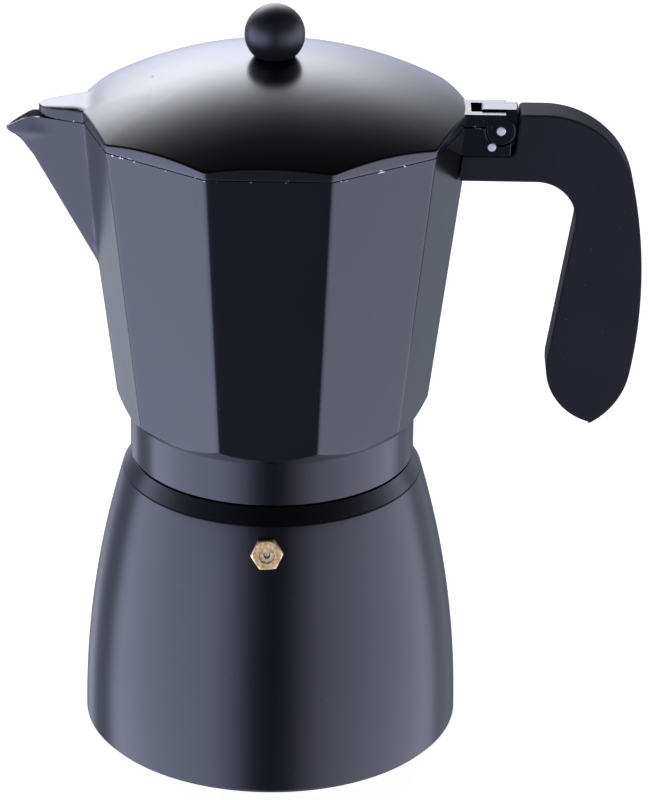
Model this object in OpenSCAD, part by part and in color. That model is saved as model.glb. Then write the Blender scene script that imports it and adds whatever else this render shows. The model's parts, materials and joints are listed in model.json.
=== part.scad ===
// Stovetop moka pot: a bell-shaped boiler, a loose coffee funnel, a ten-sided upper
// chamber that screws onto the boiler, and a hinged domed lid with a ball knob.
// Millimetres. +Z is up, the origin is the centre of the boiler's resting face.
// The handle points along +X, the spout along -X and the safety valve along -Y.

/* [Boiler] */
// Diameter of the boiler at its base
base_d = 130; // [118:1:160]
// Height of the shoulder rim above the base
rim_z = 94.2; // [78:0.1:114]
// How far the shoulder rim stands out past the collar above it
shoulder_step = 2.8; // [1:0.1:6]
// Thickness of the boiler's side wall
boiler_wall = 3; // [2:0.1:4]
// Thickness of the boiler's floor
floor_t = 4.5; // [3:0.1:8]
// Height of the rounded shoulder between the rim and the collar
shoulder_h = 5.6; // [3:0.1:8]
// Height of the threaded neck above the shoulder
neck_h = 11.2; // [9:0.1:16]

/* [Thread between boiler and chamber] */
// Outer diameter of the boiler's thread
thread_d = 89; // [86:0.5:107]
// Rise of the thread in one turn
thread_pitch = 3; // [2.5:0.1:4]
// Depth of the thread
thread_depth = 1.3; // [0.8:0.1:1.8]
// Turns of thread on each part
thread_turns = 2.6; // [2:0.1:3]
// Radial gap between the two threads
thread_gap = 0.4; // [0.3:0.05:0.6]
// Wall of the collar outside its thread
collar_wall = 3.6; // [2.5:0.1:6]
// Gap between the collar and the shoulder under it
collar_gap = 0.6; // [0.3:0.1:2]
// Length of the plain collar below the facets
collar_h = 15.25; // [14:0.05:20]

/* [Upper chamber] */
// Width of the chamber across its corners, at the lid
seam_d = 131.4; // [124:0.1:158]
// Width of the chamber across its corners, at its foot
foot_d = 105.6; // [100:0.1:120]
// Height of the chamber from the collar's edge to the lid
chamber_h = 119.6; // [100:0.1:144]
// Wall of the chamber, square to a facet
chamber_wall = 2.6; // [2:0.1:4]
// Thickness of the chamber's floor
chamber_floor_t = 2.2; // [1.5:0.1:4]

/* [Spout] */
// Distance from the lid down to the foot of the spout
spout_drop = 54; // [40:1:70]
// Lean of the spout's front edge away from upright
spout_lean = 29.2; // [20:0.1:36]
// Half of the angle between the spout's two flanks, seen from above
spout_half_angle = 21.3; // [16:0.1:28]
// Wall of the spout
spout_wall = 1.6; // [1.2:0.1:2.4]
// Half width of the pouring lip
lip_half_w = 3.9; // [3:0.1:4.5]

/* [Lid] */
// Radius of the lid's dome
dome_r = 127.35; // [100:0.05:150]
// Height of the plain edge at the lid's corners
lid_land = 2.4; // [1:0.1:5]
// Wall of the lid
lid_wall = 2.2; // [1.6:0.1:3]
// Gap between lid and chamber
lid_gap = 0.25; // [0.1:0.05:0.6]

/* [Knob] */
// Diameter of the ball knob
knob_d = 20; // [16:0.5:26]
// Height of the ball's centre above the dome
knob_lift = 7.5; // [6:0.1:9]
// Diameter of the knob's screw
screw_d = 4; // [3:0.5:5]

/* [Hinge] */
// Diameter of the hinge pin
hinge_pin_d = 3.1; // [2.5:0.1:3.8]
// Diameter of the pin that holds the handle
handle_pin_d = 3; // [2.5:0.1:3.6]
// Width of the whole hinge, along its pin
hinge_w = 16; // [14.5:0.1:20]
// Width of the middle knuckle
knuckle_w = 8.2; // [6:0.1:9]
// Side gap between knuckle and prongs
prong_gap = 0.3; // [0.2:0.05:0.5]
// Radius of the prongs' round ends
prong_r = 4.8; // [4:0.1:5]
// Radial clearance of a turning pin
pin_clearance = 0.05; // [0.02:0.01:0.1]
// Radial clearance of a pressed or screwed fit
fixed_clearance = 0.02; // [0.01:0.01:0.05]

/* [Handle] */
// Thickness of the handle
handle_t = 14; // [10:0.1:16]
// Height of the handle's arm above its underside
arm_h = 23.5; // [20:0.1:28]
// Thickness of the tongue that the handle pin holds
tongue_t = 4; // [3:0.1:5]

/* [Funnel and seal] */
// Inner diameter of the coffee basket
basket_d = 77; // [66:0.5:77]
// Depth of the coffee basket
basket_h = 27; // [20:0.5:32]
// Thickness of the funnel's sheet metal
funnel_wall = 0.8; // [0.6:0.1:1.2]
// Outer diameter of the funnel's tube
tube_d = 12; // [9:0.5:14]
// Gap between the tube's end and the boiler's floor
tube_gap = 4.5; // [3:0.5:10]
// Thickness of the gasket
gasket_t = 3.4; // [2.5:0.1:5]
// Diameter of the holes in the two strainer plates
sieve_hole_d = 1.4; // [0.8:0.1:2]
// Rings of holes in each strainer plate
sieve_rings = 6; // [4:1:8]

/* [Safety valve] */
// Height of the valve on the boiler's side
valve_z = 85.5; // [60:0.5:86]
// Width of the valve's hexagon across its flats
valve_af = 9.5; // [8:0.1:12]
// Thickness of the valve's hexagon
valve_head_t = 3.3; // [2.5:0.1:4.5]
// Diameter of the valve's shank
valve_shank_d = 8; // [7:0.1:8.5]
// Travel of the valve's plunger
valve_travel = 1; // [0.5:0.1:1.2]

/* [Hidden] */
$fn = 120;
eps = 0.5;          // how far a cut runs past the face it opens
long = 400;         // length of a cut or block that runs right through the part
wide = 60;          // width of a slab that is wider than the spout and the hinge
sides = 10;         // facets of the chamber and the lid
corner_share = cos(180 / sides);   // a facet's distance from the axis, as a share of its corners'

// boiler
base_r = base_d / 2;
thread_r = thread_d / 2;
neck_r = thread_r - thread_depth;
collar_r = thread_r + thread_gap + collar_wall;
rim_r = collar_r + shoulder_step;
bell_r = ((base_r - rim_r) ^ 2 + rim_z ^ 2) / (2 * (base_r - rim_r));
shoulder_r = 9;
shoulder_z = rim_z + shoulder_h;
neck_z = shoulder_z + neck_h;
neck_wall = 3.2;
thread_z = shoulder_z + 2.2;      // where the boiler's thread starts; the chamber's is half a pitch up
thread_root = 0.5;                // how far a thread's foot is sunk into its wall
neck_bore_r = neck_r - neck_wall;
function bell(z) = base_r - bell_r + sqrt(bell_r ^ 2 - z ^ 2);

// collar and chamber
collar_z = shoulder_z + collar_gap;
undercut_z = collar_z + collar_h;
seam_z = collar_z + chamber_h;
seam_r = seam_d / 2;
foot_r = foot_d / 2;
taper = (seam_r - foot_r) / (seam_z - undercut_z);
function corner_r(z) = seam_r - taper * (seam_z - z);

// funnel and seal, stacked on the neck
flange_t = 1;
flange_r = neck_r - 0.2;
flange_z = neck_z + flange_t;
gasket_z = flange_z + 0.05;
plate_t = 0.8;
plate_z = gasket_z + gasket_t + 0.03;
seat_z = plate_z + plate_t + 0.02;
recess_z = gasket_z - 0.6;        // mouth of the recess that holds gasket and plate
seal_gap = 0.3;
seal_r = thread_r + thread_gap - thread_depth - seal_gap;
gasket_bore_r = 36.5;
plate_r = seal_r - 0.6;
vault_h = 2.6;
vault_r = plate_r - 4;
inner_floor_z = seat_z + vault_h + chamber_floor_t;
basket_r = basket_d / 2;
basket_z = neck_z - basket_h;
tube_r = tube_d / 2;
tube_wall = 0.9;
tube_z = floor_t + tube_gap;
tube_top_z = basket_z - 12.5;
ledge_w = 4.5;
sieve_z = basket_z + funnel_wall + 0.05;

// riser column
riser_foot_r = 11;
riser_low_r = 7.5;
riser_top_r = 5.6;
riser_bore_r = 3.8;
riser_shank_r = 7;
riser_top_z = seam_z - 9;
riser_slot_h = 5;

// spout
foot_z = seam_z - spout_drop;
spout_root_x = 38;   // the spout's hollow starts this far from the axis
foot_x = -corner_r(foot_z);
lip_x = foot_x - spout_drop * tan(spout_lean);
flank = tan(spout_half_angle);
lip_round = 6.2;     // radius of the lip's front, seen from above

// lid
lid_z = seam_z + lid_gap;
lid_low_r = corner_r(seam_z) + 0.1;
lid_top_r = lid_low_r + taper * lid_land + 0.1;
dome_z = lid_z + lid_land - sqrt(dome_r ^ 2 - lid_top_r ^ 2);
apex_z = dome_z + dome_r;
lid_reach = 24;      // height of the block that the dome is cut from
cover_front_x = lip_x + 11;
cover_back_x = -50;
cover_edge_h = 2.5;  // height of the cover's edge above the seam, at its front
cover_crown = 0.9;   // how far the middle of the cover stands above its edges
cover_rise = 0.11;   // rise of the cover towards the dome

// hinge, in the plane Y = 0
pin_x = seam_r + 9.1;
pin_z = seam_z - 1;
pin_r = hinge_pin_d / 2;
handle_pin_r = handle_pin_d / 2;
prong_top_z = seam_z + 4.5;
prong_in = knuckle_w / 2 + prong_gap;
prong_swing = prong_r + 0.3;
lug_end_x = seam_r + 12.5;
knuckle_x = seam_r + 2.7;
knuckle_top_z = seam_z + 5.2;
lug_z = seam_z - 9.6;
slot_x = seam_r - 0.8;
handle_pin_x = pin_x - 2.9;
handle_pin_z = pin_z - 5.7;
tongue_gap = 0.15;
tongue_top_z = pin_z - pin_r - 1;

// handle outline, in the plane Y = 0
handle_top_z = seam_z + 4.3;
arm_z = handle_top_z - arm_h;
notch_gap = 0.5;
notch_z = lug_z - notch_gap;
notch_fillet = 2.5;
notch_x = seam_r + 14.3;
end_x = seam_r + 15.2;
knuckle_end_gap = 0.25;
end_round = 1.5;
crown_r = 31;
crown = [seam_r + 23.5, handle_top_z - crown_r];
back_r = 174.75;
back = crown - (back_r - crown_r) * [cos(12.5), sin(12.5)];
heel_r = 26.7;
heel = back + (back_r - heel_r) * [cos(9.9), -sin(9.9)];
toe_r = 20.6;
toe = heel + [18.6, -2.6];
palm_r = 13.4;
palm = [crown.x - 2, arm_z - palm_r];

// knob
knob_r = knob_d / 2;
knob_z = apex_z + knob_lift;
knob_seat_z = apex_z + 0.01;
screw_r = screw_d / 2;
insert_r = screw_r + 1.3;
insert_h = 9;
washer_r = 5;
washer_t = 0.8;
inner_dome_r = dome_r - lid_wall;
washer_z = dome_z + sqrt(inner_dome_r ^ 2 - washer_r ^ 2) - washer_t - 0.02;
screw_head_h = 2.4;
screw_head_r = screw_r * 1.9;
screw_slot_w = 1;
screw_slot_h = 1.2;
screw_top_z = knob_seat_z + insert_h - 0.3;

// valve, along its own axis, square to the boiler's wall
valve_tilt = asin(valve_z / bell_r);
valve_spot_r = valve_af / 2 / cos(30) + 0.15;
valve_spot_depth = 0.4;
valve_washer_t = 0.55;
valve_head_z = valve_washer_t - valve_spot_depth;
valve_face_z = valve_head_z + valve_head_t;
valve_inner_z = -9;
valve_shank_r = valve_shank_d / 2;
valve_bore_r = 2.6;
valve_seat_z = valve_inner_z + 2;
plunger_r = 2.4;
plunger_h = 1;
stem_r = 0.9;
retainer_t = 0.9;
retainer_z = valve_face_z - 1.5;
stem_top_z = retainer_z + retainer_t - valve_travel - 0.1;   // still inside the ring when lifted
spring_r = 1.75;
spring_wire_r = 0.3;
spring_turns = 5;

// Points of an arc in the XZ plane, from angle a0 to angle a1.
function arc(centre, r, a0, a1, steps) =
    [for (i = [0:steps]) let (a = a0 + (a1 - a0) * i / steps) centre + r * [cos(a), sin(a)]];

// A tapered ten-sided block between two heights, given by its corner radii.
module facets(low_r, top_r, z0, z1) {
    translate([0, 0, z0]) cylinder(h = z1 - z0, r1 = low_r, r2 = top_r, $fn = sides);
}

// Ten-sided block that follows the chamber's taper, moved out or in by an offset.
module chamber_block(z0, z1, offset = 0) {
    facets(corner_r(z0) + offset / corner_share, corner_r(z1) + offset / corner_share, z0, z1);
}

// A tube swept from a closed list of rings, each ring a list of points in space.
module swept(rings) {
    n = len(rings[0]);
    last = len(rings) - 1;
    sides_f = [for (k = [0:last - 1], i = [0:n - 1]) let (j = (i + 1) % n)
        [k * n + i, k * n + j, (k + 1) * n + j, (k + 1) * n + i]];
    start_f = [for (i = [n - 1:-1:0]) i];
    end_f = [for (i = [0:n - 1]) last * n + i];
    polyhedron(points = [for (r = rings, p = r) p], faces = concat(sides_f, [start_f, end_f]));
}

// Helical thread ridge: a four-point profile between a hidden radius and the crest.
module thread_ridge(root_r, crest_r, z0, turns) {
    root_w = thread_pitch * 0.46;
    crest_w = thread_pitch * 0.2;
    steps = round(turns * 36);
    outward = crest_r > root_r;
    w = outward ? [root_w, crest_w] : [crest_w, root_w];
    r = outward ? [root_r, crest_r] : [crest_r, root_r];
    swept([for (k = [0:steps]) let (a = k * 10, z = z0 + thread_pitch * a / 360)
        [for (p = [[r[0], w[0] / 2], [r[0], -w[0] / 2], [r[1], -w[1] / 2], [r[1], w[1] / 2]])
            [p[0] * cos(a), p[0] * sin(a), z + p[1]]]]);
}

// Holes of a strainer plate: a ring of six, then twelve, then eighteen and so on.
module sieve_holes(outer_r) {
    pitch = outer_r / (sieve_rings + 0.6);
    circle(d = sieve_hole_d, $fn = 16);
    for (ring = [1:sieve_rings], k = [0:6 * ring - 1])
        rotate(60 * k / ring) translate([ring * pitch, 0]) circle(d = sieve_hole_d, $fn = 16);
}

// Stands on the boiler's wall at the valve, with +Z out of the wall.
module at_valve() {
    translate([0, -bell(valve_z), valve_z]) rotate([90 - valve_tilt, 0, 0]) children();
}

// Cylinder along Y, centred on the given point of the plane Y = 0.
module along_y(x, z, r, length) {
    translate([x, length / 2, z]) rotate([90, 0, 0]) cylinder(h = length, r = r);
}

// Slab of the given XZ outline, centred on the plane Y = 0.
module slab(width) {
    translate([0, width / 2, 0]) rotate([90, 0, 0]) linear_extrude(width) children();
}

// Half outline of the bell, moved in by a wall, between two heights.
module bell_outline(z0, z1, inset) {
    intersection() {
        translate([base_r - bell_r, 0]) circle(r = bell_r - inset, $fn = 720);
        translate([0, z0]) square([base_r + eps, z1 - z0]);
    }
}

module boiler() {
    color("#2b2b30") difference() {
        union() {
            rotate_extrude() difference() {
                bell_outline(0, rim_z, 0);
                translate([base_r - 1.5, -0.01]) polygon([[0, 0], [3, 0], [3, 3], [1.5, 1.5]]);
            }
            rotate_extrude() intersection() {
                translate([rim_r - shoulder_r, rim_z]) circle(r = shoulder_r);
                translate([0, rim_z - 0.01]) square([rim_r, shoulder_h + 0.01]);
            }
            translate([0, 0, rim_z - 1]) cylinder(h = neck_z - rim_z + 1, r = neck_r);
            thread_ridge(neck_r - thread_root, thread_r, thread_z, thread_turns);
        }
        rotate_extrude() bell_outline(floor_t, rim_z - 4, boiler_wall);
        translate([0, 0, rim_z - 4.01])
            cylinder(h = 8, r1 = bell(rim_z - 4) - boiler_wall, r2 = neck_bore_r);
        translate([0, 0, rim_z]) cylinder(h = neck_z - rim_z + eps, r = neck_bore_r);
        at_valve() {
            translate([0, 0, -valve_spot_depth]) cylinder(h = 4, r = valve_spot_r);
            translate([0, 0, -12]) cylinder(h = 14, r = valve_shank_r + fixed_clearance);
        }
    }
}

module valve_body() {
    color("#c9a04f") at_valve() difference() {
        union() {
            translate([0, 0, valve_head_z])
                cylinder(h = valve_head_t, r = valve_af / 2 / cos(30), $fn = 6);
            translate([0, 0, valve_inner_z])
                cylinder(h = valve_head_z - valve_inner_z + 0.01, r = valve_shank_r);
        }
        translate([0, 0, valve_seat_z]) cylinder(h = 20, r = valve_bore_r);
        translate([0, 0, valve_inner_z - eps]) cylinder(h = 5, r = 1.5);
    }
}

module valve_washer() {
    color("#8a4b33") at_valve() translate([0, 0, -valve_spot_depth]) difference() {
        cylinder(h = valve_washer_t, r = valve_af / 2);
        translate([0, 0, -eps]) cylinder(h = 3, r = valve_shank_r + fixed_clearance);
    }
}

module valve_plunger() {
    color("#b8bcc0") at_valve() {
        translate([0, 0, valve_seat_z + 0.02]) cylinder(h = plunger_h, r = plunger_r);
        translate([0, 0, valve_seat_z + plunger_h])
            cylinder(h = stem_top_z - valve_seat_z - plunger_h, r = stem_r);
    }
}

module valve_spring() {
    low = valve_seat_z + plunger_h + 0.02 + spring_wire_r + 0.05;
    rise = retainer_z - low - spring_wire_r - 0.05;
    steps = spring_turns * 20;
    color("#b8bcc0") at_valve() swept([for (k = [0:steps]) let (a = k * 18)
        [for (i = [0:7]) let (b = i * 45, r = spring_r + spring_wire_r * cos(b))
            [r * cos(a), r * sin(a), low + rise * k / steps + spring_wire_r * sin(b)]]]);
}

module valve_retainer() {
    color("#d8b365") at_valve() translate([0, 0, retainer_z]) difference() {
        cylinder(h = retainer_t, r = valve_bore_r - fixed_clearance);
        translate([0, 0, -eps]) cylinder(h = 3, r = 1.15);
    }
}

module funnel_basket() {
    cone_h = 10;
    socket_h = 6;
    inner_tube_r = tube_r + fixed_clearance;
    out_r = basket_r + funnel_wall;
    cone_z = basket_z - cone_h;
    socket_z = cone_z - socket_h;
    socket_r = inner_tube_r + funnel_wall;
    color("#c4c6c8") rotate_extrude() polygon([
        [basket_r, flange_z], [flange_r, flange_z], [flange_r, neck_z], [out_r, neck_z],
        [out_r, basket_z], [basket_r - ledge_w, basket_z], [socket_r, cone_z], [socket_r, socket_z],
        [inner_tube_r, socket_z], [inner_tube_r, cone_z + funnel_wall],
        [basket_r - ledge_w, basket_z + funnel_wall], [basket_r, basket_z + funnel_wall]]);
}

module funnel_tube() {
    color("#c4c6c8") translate([0, 0, tube_z]) difference() {
        cylinder(h = tube_top_z - tube_z, r = tube_r);
        translate([0, 0, -eps]) cylinder(h = long, r = tube_r - tube_wall);
    }
}

module funnel_sieve() {
    color("#d0d2d4") translate([0, 0, sieve_z]) linear_extrude(plate_t) difference() {
        circle(r = basket_r - 0.2);
        sieve_holes(basket_r - 2);
    }
}

module gasket() {
    color("#e8e6e0") translate([0, 0, gasket_z]) difference() {
        cylinder(h = gasket_t, r = seal_r);
        translate([0, 0, -eps]) cylinder(h = 20, r = gasket_bore_r);
    }
}

module filter_plate() {
    color("#d0d2d4") translate([0, 0, plate_z]) linear_extrude(plate_t) difference() {
        circle(r = plate_r);
        sieve_holes(gasket_bore_r - 1);
    }
}

// V-shaped prism that leans with the spout; inset moves both flanks inwards.
module spout_wedge(inset) {
    depth = 40;
    spread = flank / cos(spout_lean);
    shift = inset / sin(spout_half_angle);
    translate([foot_x + shift, 0, foot_z]) rotate([0, -spout_lean, 0])
        translate([0, 0, -spout_drop]) linear_extrude(3 * spout_drop)
            polygon([[0, 0], [depth, -spread * depth], [depth, spread * depth]]);
}

// Everything the spout keeps: from its foot up to the rim, with the lip drooping.
module spout_limits() {
    translate([lip_x, seam_z]) polygon([[14, 0], [8, 0], [0.7, -4.5], [0.1, -5], [0.8, -6.8],
        [2.6, -7.1], [5.1, -8.6], [6.4, -9.8], [6.9, -12.5]]);
}

module spout_solid() {
    intersection() {
        spout_wedge(0);
        translate([-long, -wide / 2, foot_z - 5])
            cube([long - corner_r(foot_z) + 6, wide, spout_drop + 5]);
        slab(wide) polygon([[lip_x + 8, seam_z], [lip_x - 1, seam_z - 5.6], [lip_x - 1, 0], [0, 0],
            [0, seam_z]]);
    }
    intersection() {
        slab(2 * lip_half_w) spout_limits();
        translate([lip_x + lip_round + 0.1, 0, 0]) cylinder(h = long, r = lip_round);
    }
}

module spout_hollow() {
    difference() {
        spout_wedge(spout_wall);
        translate([-long / 2, -wide, 0]) cube([long, 2 * wide, foot_z + 8]);
        translate([-spout_root_x, -wide, 0]) cube([2 * spout_root_x, 2 * wide, long]);
    }
    slab(2 * (lip_half_w - spout_wall)) polygon([[lip_x + 16, seam_z - 9], [lip_x + 6, seam_z - 6.6],
        [lip_x - 1, seam_z - 4.9], [lip_x - 1, seam_z + 2], [lip_x + 16, seam_z + 2]]);
}

module hinge_lug() {
    difference() {
        union() {
            slab(hinge_w) translate([seam_r - 8, lug_z]) square([lug_end_x - seam_r + 8, seam_z - lug_z]);
            slab(knuckle_w) polygon([[knuckle_x, seam_z - 1], [notch_x - knuckle_end_gap, lug_z + 3],
                [end_x - knuckle_end_gap, knuckle_top_z], [knuckle_x, knuckle_top_z]]);
        }
        for (side = [-1, 1]) translate([0, side * (prong_in - 0.1 + 10), 0]) {
            along_y(pin_x, pin_z, prong_swing, 20);
            translate([pin_x, -10, pin_z]) cube([20, 20, 20]);
        }
        slab(tongue_t + 2 * tongue_gap)
            translate([seam_r + 3.5, lug_z - eps]) square([20, tongue_top_z + 2 * tongue_gap - lug_z + eps]);
        along_y(pin_x, pin_z, pin_r + fixed_clearance, wide);
        along_y(handle_pin_x, handle_pin_z, handle_pin_r + fixed_clearance, wide);
    }
}

module upper_chamber() {
    bore_r = thread_r + thread_gap;
    color("#2b2b30") difference() {
        union() {
            translate([0, 0, collar_z]) cylinder(h = collar_h, r = collar_r);
            intersection() {
                chamber_block(undercut_z - 3, seam_z);
                translate([0, 0, undercut_z - 3])
                    cylinder(h = chamber_h, r1 = collar_r - 3, r2 = collar_r - 3 + chamber_h);
            }
            spout_solid();
            difference() {
                hinge_lug();
                chamber_block(inner_floor_z, seam_z + eps, -chamber_wall / 2);
            }
        }
        chamber_block(inner_floor_z, seam_z + eps, -chamber_wall);
        spout_hollow();
        translate([0, 0, seat_z - 0.01]) cylinder(h = vault_h, r1 = vault_r, r2 = riser_shank_r + 1);
        translate([0, 0, collar_z]) cylinder(h = inner_floor_z, r = riser_shank_r + fixed_clearance);
        translate([0, 0, recess_z]) cylinder(h = seat_z - recess_z, r = seal_r + seal_gap);
        difference() {
            translate([0, 0, collar_z - eps])
                cylinder(h = recess_z - collar_z + eps + 0.01, r = bore_r);
            thread_ridge(bore_r + thread_root, bore_r - thread_depth, thread_z + thread_pitch / 2,
                thread_turns - 0.4);
        }
    }
}

module riser_column() {
    z0 = seat_z + vault_h - 0.4;
    color("#c4c6c8") difference() {
        rotate_extrude() polygon([[0, z0], [riser_shank_r, z0], [riser_shank_r, inner_floor_z + 0.02],
            [riser_foot_r, inner_floor_z + 0.02], [riser_foot_r - 0.6, inner_floor_z + 1.5],
            [riser_low_r + 0.8, inner_floor_z + 4], [riser_low_r, inner_floor_z + 9],
            [riser_top_r, riser_top_z - 4], [riser_top_r - 0.8, riser_top_z - 1.6],
            [riser_top_r - 3, riser_top_z - 0.3], [0, riser_top_z]]);
        translate([0, 0, z0 - eps]) cylinder(h = riser_top_z - z0 - 3.5, r = riser_bore_r);
        for (side = [-1, 1]) translate([side * 6 - 3, -2.4, riser_top_z - 4 - riser_slot_h])
            cube([6, 4.8, riser_slot_h]);
    }
}

// Cross-section of the lid's spout cover, a thin slice square to X: flat on top, eased at its edges.
module cover_slice(x, inset, bottom_z) {
    from_front = x - cover_front_x;
    half_w = flank * (x - lip_x) - inset / cos(spout_half_angle);
    edge_z = seam_z + cover_edge_h + cover_rise * from_front - inset;
    translate([x, 0, 0]) rotate([90, 0, 90]) linear_extrude(0.01) polygon(concat(
        [[half_w, bottom_z], [-half_w, bottom_z]],
        [for (i = [-6:6]) let (s = i / 6) [half_w * s, edge_z + cover_crown * (1 - s ^ 6)]]));
}

module spout_cover(inset, bottom_z, front_x) {
    hull() {
        cover_slice(front_x, inset, bottom_z);
        cover_slice(cover_back_x, inset, bottom_z);
    }
}

module lid_block(inset) {
    facets(lid_low_r - inset / corner_share, lid_top_r + taper * lid_reach - inset / corner_share,
        lid_z, lid_z + lid_reach);
}

module lid() {
    color("#2b2b30") difference() {
        union() {
            intersection() {
                lid_block(0);
                translate([0, 0, dome_z]) sphere(r = dome_r, $fn = 360);
            }
            difference() {
                spout_cover(0, lid_z, cover_front_x);
                translate([0, 0, dome_z]) sphere(r = inner_dome_r, $fn = 360);
            }
            difference() {
                union() {
                    slab(hinge_w) polygon([[seam_r - 10, lid_z], [pin_x + 1.5, lid_z],
                        [pin_x + 1.5, prong_top_z], [seam_r - 10, prong_top_z]]);
                    along_y(pin_x, pin_z, prong_r, hinge_w);
                }
                slab(2 * prong_in) translate([slot_x, lid_z - 20]) square([60, 60]);
                translate([0, 0, lid_z - eps])
                    cylinder(h = 40, r = seam_r - 5);
            }
        }
        intersection() {
            translate([0, 0, -eps]) lid_block(lid_wall);
            translate([0, 0, dome_z]) sphere(r = inner_dome_r, $fn = 360);
        }
        spout_cover(1.8, lid_z - eps, cover_front_x + 1.8);
        along_y(pin_x, pin_z, pin_r + pin_clearance, wide);
        translate([0, 0, apex_z - 10]) cylinder(h = 20, r = screw_r + 0.3);
    }
}

module knob() {
    color("#1c1c1e") difference() {
        translate([0, 0, knob_z]) sphere(r = knob_r);
        translate([-20, -20, knob_seat_z - 40]) cube(40);
        translate([0, 0, knob_seat_z - 1]) cylinder(h = insert_h + 1.5, r = insert_r + fixed_clearance);
    }
}

module knob_insert() {
    color("#c9a04f") translate([0, 0, knob_seat_z]) difference() {
        cylinder(h = insert_h, r = insert_r);
        translate([0, 0, -eps]) cylinder(h = insert_h, r = screw_r + fixed_clearance);
    }
}

module knob_screw() {
    color("#b8bcc0") translate([0, 0, washer_z]) difference() {
        union() {
            translate([0, 0, -screw_head_h / 2]) cylinder(h = screw_top_z - washer_z, r = screw_r);
            translate([0, 0, -screw_head_h - 0.02]) cylinder(h = screw_head_h, r = screw_head_r);
        }
        translate([-screw_head_r - eps, -screw_slot_w / 2, -screw_head_h - eps])
            cube([2 * (screw_head_r + eps), screw_slot_w, screw_slot_h + eps]);
    }
}

module knob_washer() {
    color("#b8bcc0") translate([0, 0, washer_z]) difference() {
        cylinder(h = washer_t, r = washer_r);
        translate([0, 0, -eps]) cylinder(h = 3, r = screw_r + 0.2);
    }
}

module hinge_pin() {
    color("#c8cacc") along_y(pin_x, pin_z, pin_r, hinge_w + 0.5);
}

module handle_pin() {
    color("#c8cacc") along_y(handle_pin_x, handle_pin_z, handle_pin_r, hinge_w + 0.3);
}

module handle_outline() {
    inner_lean = 8.4;
    polygon(concat(
        arc([end_x + end_round, handle_top_z - end_round], end_round, 180, 90, 4),
        arc(crown, crown_r, 90, 12.5, 16),
        arc(back, back_r, 12.5, -9.9, 14),
        arc(heel, heel_r, -9.9, -58, 10),
        arc(toe, toe_r, 257.8, 180 - inner_lean, 12),
        arc(palm, palm_r, -inner_lean, 90, 12),
        [[seam_r - 12, arm_z], [seam_r - 12, notch_z]],
        arc([notch_x - notch_fillet, notch_z + notch_fillet], notch_fillet, -90, 0, 6)));
}

module handle() {
    color("#232326") difference() {
        union() {
            slab(handle_t) handle_outline();
            slab(tongue_t) translate([seam_r + 4, notch_z - 4])
                square([notch_x - seam_r - 3, tongue_top_z - notch_z + 4]);
        }
        chamber_block(collar_z + 20, seam_z, 0.4);
        along_y(handle_pin_x, handle_pin_z, handle_pin_r + fixed_clearance, wide);
    }
}

boiler();
valve_body();
valve_washer();
valve_plunger();
valve_spring();
valve_retainer();
funnel_basket();
funnel_tube();
funnel_sieve();
gasket();
filter_plate();
upper_chamber();
riser_column();
lid();
knob();
knob_insert();
knob_screw();
knob_washer();
hinge_pin();
handle();
handle_pin();
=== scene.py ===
"""Looks of the moka pot: smooth skins, finishes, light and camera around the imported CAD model.

Lengths here are millimetres in the pot's own frame (+Z up, spout along -X, handle along +X,
valve along -Y); skin() turns them to metres.
"""
import json

import bpy
import numpy as np
from mathutils import Matrix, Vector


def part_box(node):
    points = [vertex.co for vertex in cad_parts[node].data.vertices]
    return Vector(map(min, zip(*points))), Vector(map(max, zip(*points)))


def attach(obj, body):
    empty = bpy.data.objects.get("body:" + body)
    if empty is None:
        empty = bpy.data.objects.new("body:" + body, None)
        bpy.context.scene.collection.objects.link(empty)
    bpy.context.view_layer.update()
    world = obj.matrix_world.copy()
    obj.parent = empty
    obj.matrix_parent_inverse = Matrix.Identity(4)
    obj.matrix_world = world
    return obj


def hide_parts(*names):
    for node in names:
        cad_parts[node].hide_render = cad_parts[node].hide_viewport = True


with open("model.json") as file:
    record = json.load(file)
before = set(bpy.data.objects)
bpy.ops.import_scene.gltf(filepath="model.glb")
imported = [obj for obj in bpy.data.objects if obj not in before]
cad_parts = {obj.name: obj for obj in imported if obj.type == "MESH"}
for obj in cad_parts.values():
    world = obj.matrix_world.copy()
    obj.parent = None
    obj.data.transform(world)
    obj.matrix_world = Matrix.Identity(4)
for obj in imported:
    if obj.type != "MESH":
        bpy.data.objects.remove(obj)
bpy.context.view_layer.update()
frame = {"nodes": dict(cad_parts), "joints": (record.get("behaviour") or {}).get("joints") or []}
MM = 0.001


def node_box(node):
    """Lowest and highest corner of a CAD node, in millimetres."""
    return [np.array(corner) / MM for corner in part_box(node)]


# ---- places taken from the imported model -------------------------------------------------
PIN = next(np.array(j["pos_m"]) / MM for j in frame["joints"] if j["name"] == "lid_hinge")
HANDLE_PIN = sum(node_box("handle_pin")) / 2
BASE_R = node_box("boiler")[1][0]
NECK_TOP = node_box("boiler")[1][2]
SEAM_Z = PIN[2] + 1.0             # plane between chamber and lid
SEAM_R = PIN[0] - 9.1             # chamber's corner radius in that plane
LIP_X = node_box("upper_chamber")[0][0]
KNOB_LOW, KNOB_HIGH = node_box("knob")
HANDLE_TOP = node_box("handle")[1][2]

# ---- boiler ------------------------------------------------------------------------------
BELL_R = 330.7                    # radius of the bell's side, seen as a profile
RIM_R, RIM_Z = 51.3, 94.2         # edge where the side turns over into the shoulder
SHOULDER_R, SHOULDER_Z = 48.3, 99.8   # top of the shoulder's cone, under the collar
NECK_R, NECK_BORE = 43.2, 40.0    # outside and inside radius of the threaded neck
WALL, FLOOR_T = 3.0, 4.5
PITCH, ROOT_W, CREST_W = 3.0, 1.38, 0.6   # thread: rise per turn, width at its root and at its crest
MALE_CREST, FEMALE_CREST = 44.5, 43.6     # crest radius on the neck and in the collar

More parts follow.
